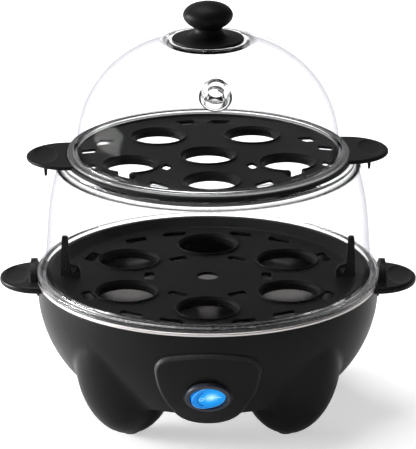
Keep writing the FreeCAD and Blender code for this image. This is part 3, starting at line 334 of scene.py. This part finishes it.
FINISHES = {
    "housing": plastic("housing_plastic", (0.0070, 0.0070, 0.0072), 0.33, 0.11),
    # the panel's edges are painted far lighter all round, a painted highlight along its bevel that the left
    # lamp lights most
    "panel": plastic("panel_plastic", (0.0060, 0.0060, 0.0062), 0.34, 0.11,
                     wear_and_highlight=1.0, edge=0.0022, sharp=0.93, wear_and_highlight_lift=0.13),
    "tray": plastic("tray_plastic", (0.0080, 0.0080, 0.0083), 0.42, 0.05, wear_and_highlight=0.30),
    "grip": plastic("knob_plastic", (0.0070, 0.0070, 0.0072), 0.40, 0.05),
    "frame": plastic("switch_frame_plastic", (0.020, 0.024, 0.036), 0.34, 0.42, wear_and_highlight=0.5, edge=0.0003),
    "cover": plastic("cover_plastic", (0.022, 0.022, 0.023), 0.58, 0.35),
    "rubber": plastic("rubber_pad", (0.030, 0.030, 0.031), 0.82, 0.2, grain=1500.0, depth=0.00003),
    "silicone": plastic("silicone_seal", (0.50, 0.50, 0.48), 0.55, 0.4, wear_and_highlight=0.1),
    "phenolic": plastic("phenolic_body", (0.060, 0.035, 0.024), 0.5, 0.4),
    "nylon": plastic("nylon_block", (0.72, 0.70, 0.64), 0.45, 0.45, wear_and_highlight=0.1),
    "sleeve": plastic("wire_sleeve", (0.45, 0.055, 0.035), 0.5, 0.4, wear_and_highlight=0.1),
    "shell": clear("clear_shell", *SHELL_THIN),
    "dome": clear("clear_dome", *DOME_THIN, (VENT_BEAD, KNOB_SEAT)),
    "steel": metal("dish_steel", (0.72, 0.675, 0.665), 0.30, rings=0.8),
    "element": metal("element_steel", (0.30, 0.28, 0.27), 0.42),
    "zinc": metal("zinc_plate", (0.62, 0.63, 0.65), 0.32),
    "cast": metal("cast_aluminium", (0.56, 0.565, 0.57), 0.5, grain=500.0, depth=0.00004),
    "brass": metal("tinned_brass", (0.66, 0.52, 0.28), 0.3),
    "lens": lit_lens("lit_rocker", LENS_CENTRE,
                     (0.0, 0.13, 0.42), (0.005, 0.34, 0.76), (0.55, 0.92, 1.0), 1.0),
    "mark": lit_lens("rocker_mark", LENS_CENTRE,
                     (0.10, 0.50, 0.80), (0.16, 0.66, 0.95), (0.80, 0.98, 1.0), 1.0),
    # a dark blue for the arc along the rocker's raised left edge: painted shade, where the bezel's inner
    # wall shades the lens
    "painted_shade_arc": lit_lens("rocker_painted_shade", LENS_CENTRE,
                       (0.0, 0.02, 0.12), (0.0, 0.03, 0.16), (0.0, 0.05, 0.25), 0.7),
    "lamp": lit_lens("lamp_glass", LAMP_CENTRE,
                     (0.0, 0.2, 0.7), (0.1, 0.5, 0.95), (0.6, 0.9, 1.0), 1.5),
}

NODES = {
    "base_housing": "housing",
    "left_base_handle": "housing",
    "right_base_handle": "housing",
    "cord_gland": "cover",
    "front_panel": "panel",
    "bottom_cover": "cover",
    "buzzer": "cover",
    "switch_body": "cover",
    "switch_bezel": "frame",
    "foot_pads": "rubber",
    "lower_tray": "tray",
    "upper_tray": "tray",
    "knob": "grip",
    "middle_shell": "shell",
    "lid_dome": "dome",
    "heating_plate": "steel",
    "heating_element": "element",
    "heat_spreader": "cast",
    "plate_seal": "silicone",
    "knob_washer": "silicone",
    "thermostat": "phenolic",
    "thermal_fuse": "sleeve",
    "terminal_block": "nylon",
    "wires": "sleeve",
    "element_terminals": "brass",
    "switch_terminals": "brass",
    "plate_studs": "brass",
    "thermostat_bracket": "zinc",
    "cover_screws": "zinc",
    "handle_screws": "zinc",
    "bracket_screws": "zinc",
    "plate_screws": "zinc",
    "knob_screw": "zinc",
    "switch_rocker": "lens",
    "indicator_lamp": "lamp",
}

for name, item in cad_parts.items():
    item.data.materials.clear()
    item.data.materials.append(FINISHES[NODES[name]])


# ---------------------------------------------------------------- marks moulded on the rocker, and a dark arc of painted shade along its raised left edge

def face_height(across):
    """Height of the rocker's hollowed face at that distance across it, in its own frame, in mm."""
    sag = ROCKER_DIP_RADIUS - math.sqrt(ROCKER_DIP_RADIUS ** 2 - across ** 2)
    return ROCKER_FACE - ROCKER_DIP_DEPTH + sag


def rocker_piece(name, path, thick, closed, finish="mark"):
    """A rounded ridge that follows path, (x, y) points in mm, over the rocker's face."""
    curve = bpy.data.curves.new(name, "CURVE")
    curve.dimensions = "3D"
    curve.bevel_depth = thick * MM
    curve.bevel_resolution = 3
    curve.use_fill_caps = True
    line = curve.splines.new("POLY")
    line.points.add(len(path) - 1)
    for point, (x, y) in zip(line.points, path):
        point.co = (*(ROCKER @ Vector((x, y, face_height(x)))), 1.0)
    line.use_cyclic_u = closed
    made = bpy.data.objects.new(name, curve)
    scene.collection.objects.link(made)
    curve.materials.append(FINISHES[finish])
    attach(made, "rocker")


def arc(middle, radius, angles):
    """Points at those angles, in degrees, round a centre that lies middle mm across the rocker."""
    return [(middle + radius * math.cos(math.radians(angle)), radius * math.sin(math.radians(angle)))
            for angle in angles]


MARK_THICK = 0.20
SHADE_ARC_THICK = 0.30
RING_MIDDLE = -3.7
RING_RADIUS = 1.15
LINE_START = 3.2
LINE_STEP = 0.7
LINE_POINTS = 6
SHADE_ARC_MIDDLE = 1.0
SHADE_ARC_RADIUS = 7.1

ring = arc(RING_MIDDLE, RING_RADIUS, range(0, 360, 10))
line = [(LINE_START + LINE_STEP * step, 0.0) for step in range(LINE_POINTS)]
painted_shade_arc = arc(SHADE_ARC_MIDDLE, SHADE_ARC_RADIUS, range(122, 239, 4))
rocker_piece("rocker_ring_mark", ring, MARK_THICK, True)
rocker_piece("rocker_line_mark", line, MARK_THICK, False)
# a dark arc over the left of the rocker's face: painted shade, not a moulded crease
rocker_piece("rocker_painted_shade_arc", painted_shade_arc, SHADE_ARC_THICK, False, "painted_shade_arc")


# ---------------------------------------------------------------- studio

FLOOR_RADIUS = 9.0
FLOOR_LOW = (0.86, 0.86, 0.86)
FLOOR_HIGH = (0.88, 0.88, 0.88)
# how much the floor glows as the camera sees it, and as everything else does
GLOW_SEEN = 0.52
GLOW_UNSEEN = 0.05
# strength of the room's light low down and high up, and the share of it left at the right
ROOM_LOW = 0.55
ROOM_HIGH = 0.28
ROOM_RIGHT = 0.32


def studio_floor():
    """A wide pale floor that glows a little, so that it reads as white paper under soft light."""
    sheet = bmesh.new()
    bmesh.ops.create_circle(sheet, cap_ends=True, radius=FLOOR_RADIUS, segments=96)
    mesh = bpy.data.meshes.new("floor")
    sheet.to_mesh(mesh)
    sheet.free()
    floor = bpy.data.objects.new("floor", mesh)
    floor.location.z = cad_low.z
    scene.collection.objects.link(floor)
    made, tree, shader = blank("pale_floor")
    paper = noise(tree, place_of(tree), 3.0, 2.0)
    put(tree, shader.inputs["Base Color"], mixed(tree, paper, FLOOR_LOW, FLOOR_HIGH))
    shader.inputs["Roughness"].default_value = 0.7
    shader.inputs["Specular IOR Level"].default_value = 0.1
    shader.inputs["Emission Color"].default_value = (1.0, 1.0, 1.0, 1.0)
    # the glow whitens the paper in the picture without lighting the object from below
    path = add(tree, "LightPath")
    seen = sums(tree, "MAXIMUM", path.outputs["Is Camera Ray"], path.outputs["Is Transmission Ray"])
    put(tree, shader.inputs["Emission Strength"], spread(tree, seen, 0.0, 1.0, GLOW_UNSEEN, GLOW_SEEN))
    mesh.materials.append(made)


def studio_sky():
    """A room that is brighter low down and to the left, where the window side of the studio is."""
    world = bpy.data.worlds.new("studio")
    scene.world = world
    world.use_nodes = True
    tree = world.node_tree
    for item in list(tree.nodes):
        tree.nodes.remove(item)
    parts = add(tree, "SeparateXYZ", {"Vector": add(tree, "TexCoord").outputs["Generated"]})
    level = spread(tree, parts.outputs["Z"], 0.10, 0.60, ROOM_LOW, ROOM_HIGH)
    level = sums(tree, "MULTIPLY", level, spread(tree, parts.outputs["X"], -0.5, 0.8, 1.0, ROOM_RIGHT))
    ground = add(tree, "Background", {"Color": (1.0, 1.0, 1.0), "Strength": level})
    put(tree, add(tree, "OutputWorld").inputs["Surface"], ground.outputs[0])


def softbox(name, spot, aim, width, height, power):
    """A rectangular lamp at spot that faces aim."""
    lamp = bpy.data.lights.new(name, "AREA")
    lamp.shape = "RECTANGLE"
    lamp.size = width
    lamp.size_y = height
    lamp.energy = power
    made = bpy.data.objects.new(name, lamp)
    made.location = spot
    made.rotation_euler = (Vector(aim) - Vector(spot)).to_track_quat("-Z", "Y").to_euler()
    scene.collection.objects.link(made)


CAMERA_SPOT = (0.0, -1.5146, 0.6296)
CAMERA_FALL = 19.181
CAMERA_LENS = 237.4


def camera():
    """View from the front and above, looking down by CAMERA_FALL degrees, with a long lens in mm."""
    lens = bpy.data.cameras.new("camera")
    lens.sensor_width = 36.0
    lens.lens = CAMERA_LENS
    made = bpy.data.objects.new("camera", lens)
    made.location = CAMERA_SPOT
    made.rotation_euler = (math.radians(90.0 - CAMERA_FALL), 0.0, 0.0)
    scene.collection.objects.link(made)
    scene.camera = made


studio_floor()
studio_sky()
softbox("left_softbox", (-1.5, 0.15, 0.29), (0.0, 0.0, 0.10), 0.9, 0.5, 56.0)
softbox("top_softbox", (-0.4, 0.5, 2.2), (0.0, 0.0, 0.0), 1.6, 1.6, 42.0)
softbox("right_strip", (1.4, 0.5, 0.35), (0.0, 0.0, 0.10), 0.35, 0.9, 0.6)
camera()
